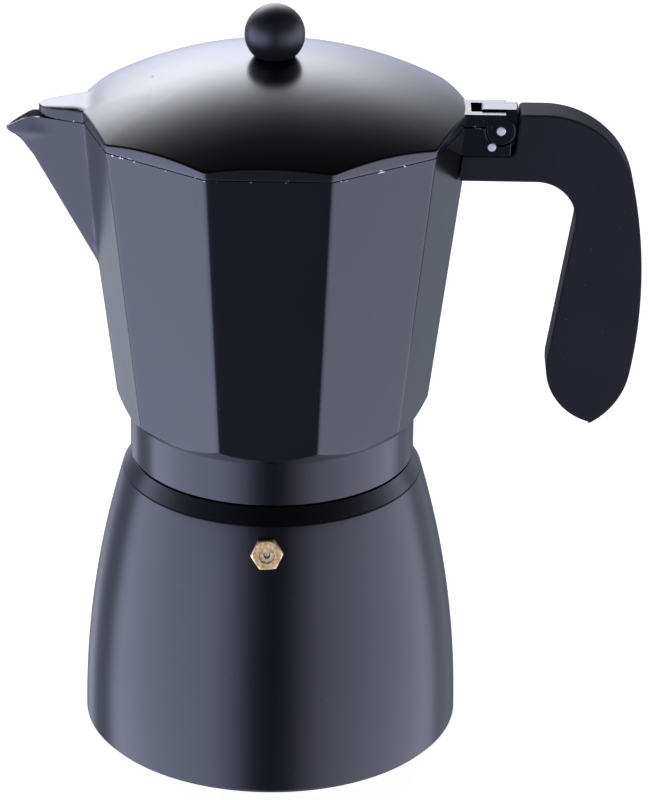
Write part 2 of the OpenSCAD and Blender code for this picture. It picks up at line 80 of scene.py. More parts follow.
# ---- upper chamber -----------------------------------------------------------------------
COLLAR_R, COLLAR_Z, COLLAR_TOP = 48.5, 100.4, 115.65
BORE_R, SEAT_R = 44.9, 43.9       # threaded bore, gasket's seat
SEAT_Z, RECESS_Z, VAULT_Z = 116.35, 111.45, 118.95   # seat, its low edge, top of the vault over the filter
COLUMN_R, VAULT_R, VAULT_EDGE_R = 7.02, 8.0, 38.7    # riser column's bore, top and foot of the vault
CHAMBER_FLOOR, CHAMBER_WALL = 121.1, 2.6
TAPER = 0.12362                   # corner radius gained per millimetre of height
SIDES = 10
SHARE = np.cos(np.pi / SIDES)     # a facet's distance from the axis over its corners'
FOOT_Z, FOOT_R = SEAM_Z - 54.0, 59.0   # foot of the spout: height, distance from the axis
LEAN = 0.5589                     # run of the spout's front edge over its rise
FLANK = 0.38988                   # half width of the spout over its depth
# underside of the lip: height, distance of its tip from the axis, half width^2 per mm behind the tip
LIP_FRONT_Z = [206.0, 208.0, 209.5, 210.5, 211.6, 212.5, 213.2, 214.0, 215.0]
LIP_FRONT_X = [80.5, 82.0, 83.0, 83.9, 84.9, 86.2, 87.5, 88.5, 89.0]
LIP_BLUNT = [0.01, 0.05, 0.15, 0.3, 0.6, 0.9, 1.1, 1.3, 1.4]
CHANNEL_Z, CHANNEL_X = [209.0, 211.0, 213.0, 214.6], [60.0, 76.0, 84.5, 87.6]   # floor of the pouring channel
SPOUT_WALL, LIP_WALL = 4.4, 1.1   # measured along the spout's middle, and at the lip
POUR_X, POUR_SLOPE = 81.18, 0.622      # where the rim starts to droop towards the lip, and how fast

# ---- lid ---------------------------------------------------------------------------------
LID_Z = SEAM_Z + 0.25             # low edge
LID_TAPER = 0.1403                # corner radius gained per millimetre of height
DOME_Z, DOME_R = 113.86, 127.35   # centre and radius of the dome
LID_WALL, COVER_WALL = 2.2, 1.8
COVER_FRONT = 78.18               # distance of the spout cover's front from the axis
COVER_BACK = -40                  # x where the cover ends under the dome
COVER_EDGE, COVER_RISE, COVER_CROWN = 2.5, 0.11, 0.9   # edge over the seam, its rise, height of the middle

# ---- hinge -------------------------------------------------------------------------------
PRONG_R, PRONG_IN, HINGE_HALF = 4.8, 4.4, 8.0   # prong's round end, its inner face, half the hinge's width
STRAP_TOP, KNUCKLE_TOP = SEAM_Z + 4.5, SEAM_Z + 5.2
SLOT_HALF = 2.15                  # half the slot that takes the handle's tongue


# ==== shapes ==============================================================================
def arc(centre, r, start, end, steps):
    """Points centre + r (cos a, sin a) for angles from start to end, in degrees."""
    a = np.radians(np.linspace(start, end, steps + 1))
    return np.stack([centre[0] + r * np.cos(a), centre[1] + r * np.sin(a)], 1)


def fillet(points, radii):
    """A polyline whose corners are arcs: each arc touches both sides at r / tan(half angle)."""
    p = np.asarray(points, float)
    out = [p[:1]]
    for before, corner, after, r in zip(p[:-2], p[1:-1], p[2:], radii):
        if r == 0:
            out.append(corner[None])
            continue
        u = (before - corner) / np.linalg.norm(before - corner)
        v = (after - corner) / np.linalg.norm(after - corner)
        half = np.arccos(np.clip(u @ v, -1, 1)) / 2
        centre = corner + (u + v) / np.linalg.norm(u + v) * r / np.sin(half)
        first, last = corner + u * r / np.tan(half), corner + v * r / np.tan(half)
        t = np.linspace(0, 1, 2 + int(np.degrees(np.pi - 2 * half) // 12))[:, None]
        spoke = (first - centre) * (1 - t) + (last - centre) * t
        out.append(centre + r * spoke / np.linalg.norm(spoke, axis=1, keepdims=True))
    return np.concatenate(out + [p[-1:]])


def ring_angles(count):
    """Evenly spaced angles of a full turn."""
    return np.linspace(0, 2 * np.pi, count, endpoint=False)


def lathe(profile, count=96):
    """Grid of a profile (r, z) turned about Z: x = r cos a, y = r sin a."""
    a, (r, z) = ring_angles(count), np.asarray(profile, float).T[:, :, None]
    return np.stack([r * np.cos(a), r * np.sin(a), z + 0 * a], 2)


def smooth_max(a, b, width):
    """Larger of two surfaces, with the crease between them eased over a width."""
    return (a + b + np.sqrt((a - b) ** 2 + width ** 2)) / 2


def smooth_step(x, low, high):
    """0 below low, 1 above high, with a level start and end."""
    t = np.clip((x - low) / (high - low), 0, 1)
    return t * t * (3 - 2 * t)


def thread(angle, z, start_z, turns):
    """Height 0 to 1 of a helical ridge: a trapezium about z = start + pitch (angle + 2 pi k) / 2 pi."""
    turn = angle / (2 * np.pi)
    k = np.clip(np.round((z - start_z) / PITCH - turn), 0, np.floor(turns - turn))
    off = np.abs(z - start_z - PITCH * (turn + k))
    ridge = np.clip((ROOT_W / 2 - off) / (ROOT_W / 2 - CREST_W / 2), 0, 1)
    along = turn + k
    return ridge * smooth_step(along, 0, 0.06) * (1 - smooth_step(along, turns - 0.06, turns))


def facets(angle, crisp=320.0):
    """Corner-to-facet factor: 1 over the soft maximum of cos(angle - facet angle), so corners are eased."""
    normals = np.pi / SIDES + 2 * np.pi / SIDES * np.arange(SIDES)
    c = np.cos(angle[..., None] - normals)
    top = c.max(-1)
    return 1 / (top + np.log(np.exp(crisp * (c - top[..., None])).sum(-1)) / crisp)


def corner_r(z):
    """Corner radius of the chamber at a height."""
    return SEAM_R - TAPER * (SEAM_Z - z)


def wedge(angle, depth):
    """Polar radius of the spout's V: flank * depth / (|sin| + flank * cos), measured from -X."""
    s, c = np.sqrt(np.sin(angle) ** 2 + 0.004 ** 2), -np.cos(angle)
    return np.where(c > 0.2, FLANK * depth / (s + FLANK * np.maximum(c, 0.2)), 0)


def slab(outline, y0, y1, low_round=0.0, high_round=0.0, middles=()):
    """Closed XZ outline carried along Y; a rounded side draws it in by r (1 - cos) as it nears the face."""
    p = np.asarray(outline, float)
    area = np.sum(p[:, 0] * np.roll(p[:, 1], -1) - np.roll(p[:, 0], -1) * p[:, 1])
    p = p if area > 0 else p[::-1]
    ahead = np.roll(p, -1, 0) - p
    ahead /= np.maximum(np.linalg.norm(ahead, axis=1, keepdims=True), 1e-9)
    out = np.stack([ahead[:, 1], -ahead[:, 0]], 1)
    before = np.roll(out, 1, 0)
    side = (out + before) / np.maximum(1 + np.sum(out * before, 1, keepdims=True), 0.35)
    turn = np.radians([0, 22.5, 45, 67.5, 90])
    low, high = ([(y + r * inwards * (1 - np.sin(a)), r * (1 - np.cos(a))) for a in turn] if r else [(y, 0)]
                 for y, r, inwards in ((y0, low_round, 1), (y1, high_round, -1)))
    rows = low[::-1] + [(m, 0) for m in middles] + high
    return np.stack([np.stack([(p - side * inset)[:, 0], np.full(len(p), y), (p - side * inset)[:, 1]], 1)
                     for y, inset in rows])


# ==== meshes ==============================================================================
def skin(name, grids, body, slot, *nodes, sharp=35.0):
    """One mesh from grids of points (rows, columns, xyz), columns closed into rings.

    Each grid comes as (points, material, caps). Equal points are merged, so grids that share a
    row join, a ring of equal points becomes a pole, and a closed shell is turned to face outwards.
    """
    points, quads, kinds, caps, materials = [], [], [], [], []
    start = 0
    for grid, material, capped in grids:
        rows, cols = grid.shape[:2]
        index = start + np.arange(rows * cols).reshape(rows, cols)
        right = np.roll(index, -1, 1)
        quads.append(np.stack([index[:-1], right[:-1], right[1:], index[1:]], -1).reshape(-1, 4))
        if material not in materials:
            materials.append(material)
        kinds.append(np.full((rows - 1) * cols, materials.index(material)))
        if capped:
            caps += [(index[0][::-1], materials.index(material)), (index[-1], materials.index(material))]
        points.append(grid.reshape(-1, 3))
        start += rows * cols
    points, quads, kinds = np.concatenate(points), np.concatenate(quads), np.concatenate(kinds)
    _, keep, same = np.unique(np.round(points, 3), axis=0, return_index=True, return_inverse=True)
    same, points, quads = same.reshape(-1), points[keep], same.reshape(-1)[quads]
    a, b, c, d = quads.T
    whole = (a != b) & (b != c) & (c != d) & (d != a) & (a != c) & (b != d)
    faces, face_kinds = [quads[whole]], [kinds[whole]]
    for equal, corners in ((a == b, (0, 2, 3)), (b == c, (0, 1, 3)), (c == d, (0, 1, 2)), (d == a, (0, 1, 2))):
        tri = quads[equal & ~whole][:, corners]
        full = (tri[:, 0] != tri[:, 1]) & (tri[:, 1] != tri[:, 2]) & (tri[:, 2] != tri[:, 0])
        faces.append(tri[full])
        face_kinds.append(kinds[equal & ~whole][full])
    loops = np.concatenate([f.reshape(-1) for f in faces] + [same[cap] for cap, _ in caps])
    totals = np.concatenate([np.full(len(f), f.shape[1]) for f in faces] + [[len(cap)] for cap, _ in caps])
    kinds = np.concatenate(face_kinds + [[kind] for _, kind in caps])
    mesh = bpy.data.meshes.new(name)
    mesh.vertices.add(len(points))
    mesh.vertices.foreach_set("co", (points * MM).astype(np.float32).ravel())
    mesh.loops.add(len(loops))
    mesh.loops.foreach_set("vertex_index", loops.astype(np.int32))
    mesh.polygons.add(len(totals))
    mesh.polygons.foreach_set("loop_start", np.concatenate([[0], np.cumsum(totals)[:-1]]).astype(np.int32))
    mesh.polygons.foreach_set("loop_total", totals.astype(np.int32))
    for material in materials:
        mesh.materials.append(material)
    mesh.polygons.foreach_set("material_index", kinds.astype(np.int32))
    mesh.update(calc_edges=True)
    mesh.validate()
    mesh.calc_loop_triangles()
    corners = np.zeros(len(mesh.loop_triangles) * 3, np.int32)
    mesh.loop_triangles.foreach_get("vertices", corners)
    p, q, r = (points[corners.reshape(-1, 3)[:, k]] for k in range(3))
    if np.sum(p * np.cross(q, r)) < 0:
        mesh.flip_normals()
    mesh.shade_smooth()
    mesh.set_sharp_from_angle(angle=np.radians(sharp))
    piece = bpy.data.objects.new(name, mesh)
    bpy.context.scene.collection.objects.link(piece)
    level = piece.modifiers.new("flat_faces_stay_flat", "WEIGHTED_NORMAL")
    level.keep_sharp = True
    level.weight = 60
    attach(piece, body)
    if nodes:
        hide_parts(*nodes)
    return piece


# ==== finishes ============================================================================
def srgb(code):
    """Linear colour of an sRGB hex code."""
    c = np.array([int(code[i:i + 2], 16) for i in (0, 2, 4)]) / 255
    return (*np.where(c <= 0.04045, c / 12.92, ((c + 0.055) / 1.055) ** 2.4), 1.0)


def add(tree, kind, inputs=None, **settings):
    """Adds one shader node, sets its properties, and fills or links its inputs."""
    made = tree.nodes.new("ShaderNode" + kind)
    for key, value in settings.items():
        setattr(made, key, value)
    for key, value in (inputs or {}).items():
        if isinstance(value, bpy.types.NodeSocket):
            tree.links.new(value, made.inputs[key])
        else:
            made.inputs[key].default_value = value
    return made


def drive(tree, shader, base, relief, rough=None):
    """Links a finish's colour, bump and roughness to its shader."""
    tree.links.new(base.outputs["Result"], shader.inputs["Base Color"])
    tree.links.new(relief.outputs[0], shader.inputs["Normal"])
    if rough:
        tree.links.new(rough.outputs[0], shader.inputs["Roughness"])


def finish(name):
    """An empty material: its tree, the object coordinates, and its Principled shader."""
    material = bpy.data.materials.new(name)
    material.use_nodes = True
    tree = material.node_tree
    tree.nodes.clear()
    shader = add(tree, "BsdfPrincipled")
    add(tree, "OutputMaterial", {"Surface": shader.outputs[0]})
    return material, tree, add(tree, "TexCoord").outputs["Object"], shader


def per_mm(size):
    """Noise scale whose features are this many millimetres across, in metre coordinates."""
    return 1 / (size * MM)


def polar(tree, place, centre=(0, 0, 0), tilt=(0, 0, 0)):
    """Distance from an axis and height along it, from x and y of the place moved to that axis."""
    moved = add(tree, "Mapping", {"Vector": place, "Location": [-c * MM for c in centre]})
    turned = add(tree, "Mapping", {"Vector": moved.outputs[0], "Rotation": tilt})
    part = add(tree, "SeparateXYZ", {0: turned.outputs[0]})
    flat = add(tree, "CombineXYZ", {0: part.outputs[0], 1: part.outputs[1]})
    return add(tree, "VectorMath", {0: flat.outputs[0]}, operation="LENGTH").outputs["Value"], part.outputs[2]


def black_lacquer():
    """Black stoving lacquer sprayed on cast aluminium: deep black, satin gloss with a faint
    orange peel and dust nibs, fine turned lines on the boiler's shoulder, and bright
    metal where the seam's edge is chipped."""
    material, tree, place, shader = finish("black_stoving_lacquer")
    peel = add(tree, "TexNoise", {"Vector": place, "Scale": per_mm(1.1), "Detail": 2.0})
    grain = add(tree, "TexNoise", {"Vector": place, "Scale": per_mm(0.35), "Detail": 1.0})
    cloud = add(tree, "TexNoise", {"Vector": place, "Scale": per_mm(45), "Detail": 3.0})
    nibs = add(tree, "TexVoronoi", {"Vector": place, "Scale": per_mm(7)}, feature="F1")
    nib_size = add(tree, "MapRange", {"Value": nibs.outputs["Distance"], "From Min": 0.022,
                                      "From Max": 0.042, "To Min": 1.0, "To Max": 0.0})
    r, z = polar(tree, place)
    # chips: a 0.5 mm band at the seam, broken up by noise, so bright metal shows in short dashes
    off_seam = add(tree, "Math", {0: z, 1: (SEAM_Z + 0.12) * MM}, operation="SUBTRACT")
    off_seam = add(tree, "Math", {0: off_seam.outputs[0]}, operation="ABSOLUTE")
    band = add(tree, "MapRange", {"Value": off_seam.outputs[0], "From Min": 0.25 * MM,
                                  "From Max": 0.6 * MM, "To Min": 1.0, "To Max": 0.0})
    wear = add(tree, "TexNoise", {"Vector": place, "Scale": per_mm(2.4), "Detail": 4.0})
    chip = add(tree, "MapRange", {"Value": wear.outputs[0], "From Min": 0.63, "From Max": 0.665})
    chip = add(tree, "Math", {0: chip.outputs[0], 1: band.outputs[0]}, operation="MULTIPLY")
    # turned lines about 0.5 mm apart, only between the shoulder's edge and the collar
    rings = add(tree, "CombineXYZ", {0: r, 1: z})
    lines = add(tree, "TexNoise", {"Vector": rings.outputs[0], "Scale": per_mm(0.5), "Detail": 2.0})
    low = add(tree, "MapRange", {"Value": z, "From Min": (RIM_Z + 0.4) * MM, "From Max": (RIM_Z + 1.4) * MM})
    high = add(tree, "MapRange", {"Value": z, "From Min": SHOULDER_Z * MM,
                                  "From Max": (SHOULDER_Z + 0.4) * MM, "To Min": 1.0, "To Max": 0.0})
    turned = add(tree, "Math", {0: low.outputs[0], 1: high.outputs[0]}, operation="MULTIPLY")
    lines = add(tree, "Math", {0: lines.outputs[0], 1: turned.outputs[0]}, operation="MULTIPLY")
    base = add(tree, "Mix", {"Factor": cloud.outputs[0], "A": srgb("060608"), "B": srgb("0A0A0D")},
               data_type="RGBA")
    base = add(tree, "Mix", {"Factor": nib_size.outputs[0], "A": base.outputs["Result"], "B": srgb("3A3A40")},
               data_type="RGBA")
    base = add(tree, "Mix", {"Factor": chip.outputs[0], "A": base.outputs["Result"], "B": srgb("D8D9DC")},
               data_type="RGBA")
    rough = add(tree, "MapRange", {"Value": cloud.outputs[0], "To Min": 0.21, "To Max": 0.27})
    coarse = add(tree, "Math", {0: grain.outputs[0], 1: 0.35, 2: peel.outputs[0]}, operation="MULTIPLY_ADD")
    relief = add(tree, "Bump", {"Height": coarse.outputs[0], "Strength": 0.5, "Distance": 0.010 * MM})
    relief = add(tree, "Bump", {"Height": lines.outputs[0], "Strength": 0.5, "Distance": 0.02 * MM,
                                "Normal": relief.outputs[0]})
    drive(tree, shader, base, relief, rough)
    tree.links.new(chip.outputs[0], shader.inputs["Metallic"])
    return material


def bare_aluminium():
    """Aluminium as it leaves the lathe: pale grey, satin, with close turned lines and light stains."""
    material, tree, place, shader = finish("turned_aluminium")
    r, z = polar(tree, place)
    rings = add(tree, "CombineXYZ", {0: r, 1: z})
    lines = add(tree, "TexNoise", {"Vector": rings.outputs[0], "Scale": per_mm(0.7), "Detail": 3.0})
    cloud = add(tree, "TexNoise", {"Vector": place, "Scale": per_mm(12), "Detail": 4.0})
    base = add(tree, "Mix", {"Factor": cloud.outputs[0], "A": srgb("B9BBBE"), "B": srgb("DADBDD")},
               data_type="RGBA")
    rough = add(tree, "MapRange", {"Value": lines.outputs[0], "To Min": 0.28, "To Max": 0.5})
    relief = add(tree, "Bump", {"Height": lines.outputs[0], "Strength": 0.5, "Distance": 0.03 * MM})
    drive(tree, shader, base, relief, rough)
    shader.inputs["Metallic"].default_value = 1.0
    return material


def sieve_steel():
    """Rolled stainless sheet: cooler grey than the aluminium, with fine straight rolling lines."""
    material, tree, place, shader = finish("rolled_stainless_sheet")
    stretched = add(tree, "Mapping", {"Vector": place, "Scale": (0.04, 1.0, 1.0)})
    lines = add(tree, "TexNoise", {"Vector": stretched.outputs[0], "Scale": per_mm(0.5), "Detail": 3.0})
    base = add(tree, "Mix", {"Factor": lines.outputs[0], "A": srgb("A9ABAE"), "B": srgb("CFD0D1")},
               data_type="RGBA")
    relief = add(tree, "Bump", {"Height": lines.outputs[0], "Strength": 0.4, "Distance": 0.01 * MM})
    drive(tree, shader, base, relief)
    shader.inputs["Metallic"].default_value = 1.0
    shader.inputs["Roughness"].default_value = 0.3
    return material


def turned_brass():
    """Turned brass, slightly dulled: warm yellow, mottled by handling, with soft tool marks."""
    material, tree, place, shader = finish("turned_brass")
    mottle = add(tree, "TexNoise", {"Vector": place, "Scale": per_mm(0.9), "Detail": 4.0})
    marks = add(tree, "TexNoise", {"Vector": place, "Scale": per_mm(0.35), "Detail": 2.0})
    blotch = add(tree, "MapRange", {"Value": mottle.outputs[0], "From Min": 0.35, "From Max": 0.65})
    base = add(tree, "Mix", {"Factor": blotch.outputs[0], "A": srgb("D8AC63"), "B": srgb("FFEBC0")},
               data_type="RGBA")
    rough = add(tree, "MapRange", {"Value": mottle.outputs[0], "To Min": 0.6, "To Max": 0.4})
    relief = add(tree, "Bump", {"Height": marks.outputs[0], "Strength": 0.8, "Distance": 0.12 * MM})
    drive(tree, shader, base, relief, rough)
    shader.inputs["Metallic"].default_value = 0.7
    return material


def bright_steel():
    """Drawn steel rod, cut and peened: bright, with small dents and scratches."""
    material, tree, place, shader = finish("drawn_steel")
    dents = add(tree, "TexNoise", {"Vector": place, "Scale": per_mm(0.8), "Detail": 3.0})
    base = add(tree, "Mix", {"Factor": dents.outputs[0], "A": srgb("CFD0D2"), "B": srgb("F8F8F9")},
               data_type="RGBA")
    rough = add(tree, "MapRange", {"Value": dents.outputs[0], "To Min": 0.35, "To Max": 0.55})
    relief = add(tree, "Bump", {"Height": dents.outputs[0], "Strength": 0.8, "Distance": 0.12 * MM})
    drive(tree, shader, base, relief, rough)
    shader.inputs["Metallic"].default_value = 0.6
    return material


def moulded_black(name, shade, light_shade, roughness, gloss, grain_mm, depth_mm):
    """Moulded black phenolic: near-black with a fine mould texture, faint mottling and pale dust specks."""
    material, tree, place, shader = finish(name)
    grain = add(tree, "TexNoise", {"Vector": place, "Scale": per_mm(grain_mm), "Detail": 2.0})
    cloud = add(tree, "TexNoise", {"Vector": place, "Scale": per_mm(25), "Detail": 3.0})
    dust = add(tree, "TexVoronoi", {"Vector": place, "Scale": per_mm(5)}, feature="F1")
    speck = add(tree, "MapRange", {"Value": dust.outputs["Distance"], "From Min": 0.03,
                                   "From Max": 0.05, "To Min": 1.0, "To Max": 0.0})
    base = add(tree, "Mix", {"Factor": cloud.outputs[0], "A": srgb(shade), "B": srgb(light_shade)},
               data_type="RGBA")
    base = add(tree, "Mix", {"Factor": speck.outputs[0], "A": base.outputs["Result"], "B": srgb("4A4A4E")},
               data_type="RGBA")
    rough = add(tree, "MapRange", {"Value": grain.outputs[0], "To Min": roughness - 0.05,
                                   "To Max": roughness + 0.05})
    relief = add(tree, "Bump", {"Height": grain.outputs[0], "Strength": 0.6, "Distance": depth_mm * MM})
    drive(tree, shader, base, relief, rough)
    shader.inputs["Specular IOR Level"].default_value = gloss
    return material


def plain_soft(name, dark, light, roughness, grain_mm):
    """A cut or moulded soft sheet, such as fibre or silicone: matt, with fine mottling and a little tooth."""
    material, tree, place, shader = finish(name)
    grain = add(tree, "TexNoise", {"Vector": place, "Scale": per_mm(grain_mm), "Detail": 3.0})
    base = add(tree, "Mix", {"Factor": grain.outputs[0], "A": srgb(dark), "B": srgb(light)}, data_type="RGBA")
    relief = add(tree, "Bump", {"Height": grain.outputs[0], "Strength": 0.4, "Distance": 0.03 * MM})
    drive(tree, shader, base, relief)
    shader.inputs["Roughness"].default_value = roughness
    return material


LACQUER = black_lacquer()
ALUMINIUM = bare_aluminium()
SIEVE = sieve_steel()
BRASS = turned_brass()
STEEL = bright_steel()
KNOB_BLACK = moulded_black("moulded_phenolic_knob", "1E1E22", "242428", 0.42, 0.5, 0.4, 0.01)
HANDLE_BLACK = moulded_black("moulded_phenolic_handle", "212128", "292931", 0.66, 0.1, 0.5, 0.03)
FIBRE = plain_soft("vulcanised_fibre", "6B3220", "8F4A32", 0.6, 0.6)
RUBBER = plain_soft("silicone_rubber", "D5D2C8", "E6E4DC", 0.45, 0.8)


# ==== boiler ==============================================================================
def bell(z):
    """Radius of the boiler's side: a circle of radius BELL_R that stands upright at the base."""
    return BASE_R - BELL_R + np.sqrt(BELL_R ** 2 - np.asarray(z, float) ** 2)


def threaded(profile, crest, start_z, turns, count):
    """Lathe grid whose rows between the thread's ends are pushed to the crest by thread()."""
    a = ring_angles(count)
    r, z = profile[:, 0][:, None] + 0 * a, profile[:, 1][:, None] + 0 * a
    r = r + (crest - r) * thread(a[None] + 0 * z, z, start_z, turns)
    return np.stack([r * np.cos(a), r * np.sin(a), z], 2)


def boiler():
    """Outside: foot, bell, coned shoulder. Bare metal: threaded neck, bore, inside of the bell."""
    count = 288
    side_z = np.linspace(2.2, RIM_Z - 0.4, 40)
    foot = fillet([(0, 0), (BASE_R - 1.5, 0), (bell(1.5), 1.5), (bell(2.2), 2.2)], [0.3, 0.3])
    shoulder = fillet([(RIM_R, RIM_Z), (RIM_R - 0.25, RIM_Z + 0.25), (SHOULDER_R, SHOULDER_Z),
                       (SHOULDER_R - 0.6, SHOULDER_Z)], [0.3, 0.2])
    outside = np.concatenate([foot, np.stack([bell(side_z), side_z], 1)[1:],
                              [(RIM_R - 0.05, RIM_Z - 0.1)], shoulder, [(NECK_R + 0.4, SHOULDER_Z)]])
    neck_z = np.linspace(SHOULDER_Z + 0.4, NECK_TOP - 0.5, 44)
    neck = np.concatenate([[(NECK_R + 0.4, SHOULDER_Z)], np.stack([NECK_R + 0 * neck_z, neck_z], 1),
                           [(NECK_R - 0.5, NECK_TOP), (NECK_BORE + 0.4, NECK_TOP),
                            (NECK_BORE, NECK_TOP - 0.4)]])
    inner_z = np.linspace(RIM_Z - 4, FLOOR_T + 5, 24)
    inside = np.concatenate([[(NECK_BORE, NECK_TOP - 0.4)], fillet(
        [(NECK_BORE, NECK_TOP - 1), (NECK_BORE, RIM_Z + 4), (bell(RIM_Z - 4) - WALL, RIM_Z - 4.01),
         (bell(RIM_Z - 10) - WALL, RIM_Z - 10)], [2, 2])[:-1],
        np.stack([bell(inner_z) - WALL, inner_z], 1)[4:],
        fillet([(bell(9.5) - WALL, 9.5), (bell(4.5) - WALL, FLOOR_T), (0, FLOOR_T)], [3.5])[1:]])
    return skin("boiler_shell", [
        (lathe(outside, count), LACQUER, False),
        (threaded(neck, MALE_CREST, SHOULDER_Z + 2.2, 2.6, count), ALUMINIUM, False),
        (lathe(inside, count), ALUMINIUM, False)], "boiler", "black_lacquer", "boiler")


# ==== safety valve ========================================================================
VALVE_Z = 85.5
VALVE_LEAN = np.arcsin(VALVE_Z / BELL_R)
HEX_HALF, HEX_LOW, HEX_TOP = 4.75, 0.15, 3.45   # half the width across flats, faces of the hexagon
HEX_TURN = 0.075                  # how far the fitted hexagon is turned from level, in radians
FACE_R, FACE_SLOPE = 4.62, 32     # flat face inside the bevel, and the bevel's angle in degrees
SHANK_R, SHANK_END = 4.0, -9.0
FACE_BORE, PASSAGE_R, SEAT_DEPTH = 2.6, 1.5, -6.9   # wide bore from the face, narrow one behind its seat
HEX_CRISP = 160                   # how sharply the six flats meet


def at_valve(grid):
    """Moves a grid made about Z so that +Z stands out of the boiler's wall at the valve."""
    s, c = np.sin(VALVE_LEAN), np.cos(VALVE_LEAN)
    x, y, z = np.moveaxis(grid, 2, 0)
    return np.stack([x, -bell(VALVE_Z) + y * s - z * c, VALVE_Z + y * c + z * s], 2)


def valve():
    """Hexagon with a 32 degree bevel, bored through, with its washer and the ring pressed inside."""
    middles = 30 + 60 * np.arange(6)
    a = np.radians(np.add.outer(middles, [-29, -25, -18, -9, 0, 9, 18, 25, 29]).ravel())
    c = np.cos(np.subtract.outer(a, np.radians(middles)))
    near = np.log(np.exp(HEX_CRISP * (c - c.max(1, keepdims=True))).sum(1)) / HEX_CRISP
    hexagon = HEX_HALF / (near + c.max(1))

    def row(radius, z):
        return np.stack([radius * np.cos(a + HEX_TURN), radius * np.sin(a + HEX_TURN), z + 0 * a], 1)

    def bevel(slack):
        return np.minimum(hexagon, FACE_R + slack / np.tan(np.radians(FACE_SLOPE)))

    head = np.stack(
        [row(0 * a + r, z) for r, z in ((PASSAGE_R, SHANK_END), (SHANK_R - 0.4, SHANK_END),
                                        (SHANK_R, SHANK_END + 0.4), (SHANK_R, HEX_LOW))]
        + [row(hexagon - 0.15, HEX_LOW), row(hexagon, HEX_LOW + 0.15)]
        + [row(bevel(s), HEX_TOP - s) for s in (0.55, 0.45, 0.35, 0.25, 0.15, 0.07, 0.02)]
        + [row(0 * a + r, z) for r, z in (
            (4.5, HEX_TOP), (2.95, HEX_TOP), (2.75, HEX_TOP - 0.08), (2.62, HEX_TOP - 0.3), (FACE_BORE, 1.0),
            (FACE_BORE, SEAT_DEPTH), (PASSAGE_R, SEAT_DEPTH), (PASSAGE_R, SHANK_END))])
    skin("valve_hexagon", [(at_valve(head), BRASS, False)], "boiler", "brass", "valve_body", sharp=25)
    hole, rim, middle = 1.15, 2.58, 2.4       # pressed ring: its radii, and its middle's height
    ring = fillet([(hole, middle), (hole, 2.85), (2.5, 2.85), (rim, middle), (rim, 1.95), (hole, 1.95),
                   (hole, middle)], [0.2, 0.15, 0, 0.1, 0.1])
    skin("valve_ring", [(at_valve(lathe(ring, 64)), BRASS, False)], "boiler", "brass", "valve_retainer")
    hole, rim = SHANK_R + 0.1, 4.75
    washer = fillet([(hole, 0), (hole, HEX_LOW), (rim, HEX_LOW), (rim, -0.4), (hole, -0.4), (hole, 0)],
                    [0.05, 0.15, 0.1, 0.05])
    skin("valve_seal", [(at_valve(lathe(washer, 64)), FIBRE, False)], "boiler", "fibre", "valve_washer")


# ==== upper chamber =======================================================================
def chamber_angles(junction):
    """Column angles: close together at the ten corners, at the spout's edge and where it meets the facets."""
    near = np.array([-0.03, -0.015, -0.008, -0.003, 0.003, 0.008, 0.015, 0.03])
    corner = 2 * np.pi / SIDES
    plain = [k * corner + np.concatenate([near, np.linspace(0.07, corner - 0.07, 9)])
             for k in range(-4, 4)]
    plain = np.concatenate(plain + [4 * corner + near])
    j = np.maximum(junction, 0.055)[:, None]
    half = np.concatenate([
        0 * j + np.array([0.0, 0.003, 0.008, 0.015, 0.03]),
        0.03 + (j - 0.045) * np.linspace(0.12, 1, 9),
        j - 0.015 + np.array([0.009, 0.015, 0.021, 0.03]),
        j + 0.015 + (corner - 0.07 - j - 0.015) * np.linspace(0.12, 1, 10)], 1)
    spout = np.concatenate([np.pi - half[:, ::-1], np.pi + half[:, 1:]], 1)
    return np.concatenate([np.broadcast_to(plain, (len(spout), len(plain))), spout], 1)


def junction_at(depth, flat_r):
    """Angle from -X where the spout's flank crosses the facet beside it."""
    a, turn = FLANK * depth, np.pi / SIDES
    return np.maximum(np.arctan2(a * np.cos(turn) - FLANK * flat_r, flat_r - a * np.sin(turn)), 0)


def spout_depth(z):
    """Distance of the spout's front edge from the axis at a height."""
    return FOOT_R + LEAN * (z - FOOT_Z)


def prow(angle, tip, blunt):
    """Polar radius of a parabola pointing along -X: half width^2 = blunt * (tip - x), solved for the radius."""
    c = np.maximum(-np.cos(angle), 0.2)
    r = 2 * tip / (c + np.sqrt(c ** 2 + 4 * tip * np.sin(angle) ** 2 / blunt))
    return np.where(np.cos(angle) < -0.5, r, 0)


def outer_wall(angle, z):
    """Soft union of the facets, the spout's V above its foot, and the lip's rounded nose."""
    flat = facets(angle) * SHARE * corner_r(z)
    v = np.where(z > FOOT_Z - 1, wedge(angle, spout_depth(z)), 0)
    lip = prow(angle, np.interp(z, LIP_FRONT_Z, LIP_FRONT_X), np.interp(z, LIP_FRONT_Z, LIP_BLUNT))
    lip = np.where(z > LIP_FRONT_Z[0], lip, 0)
    return smooth_max(smooth_max(flat, v, 0.35), lip, 0.6) - 0.1


def inner_wall(angle, z):
    """Facets moved in by the wall, opened into the spout and into the lip's pouring channel."""
    flat = facets(angle) * (SHARE * corner_r(z) - CHAMBER_WALL)
    v = wedge(angle, spout_depth(z) - SPOUT_WALL - 12 * (1 - smooth_step(z, FOOT_Z + 6, FOOT_Z + 12)))
    channel = prow(angle, np.interp(z, CHANNEL_Z, CHANNEL_X), np.interp(z, [211.0, 214.6], [0.4, 0.9]))
    inside = smooth_max(smooth_max(flat, v, 0.4), np.where(z > 210, channel, 0), 0.3)
    return np.minimum(inside, outer_wall(angle, z) - LIP_WALL)


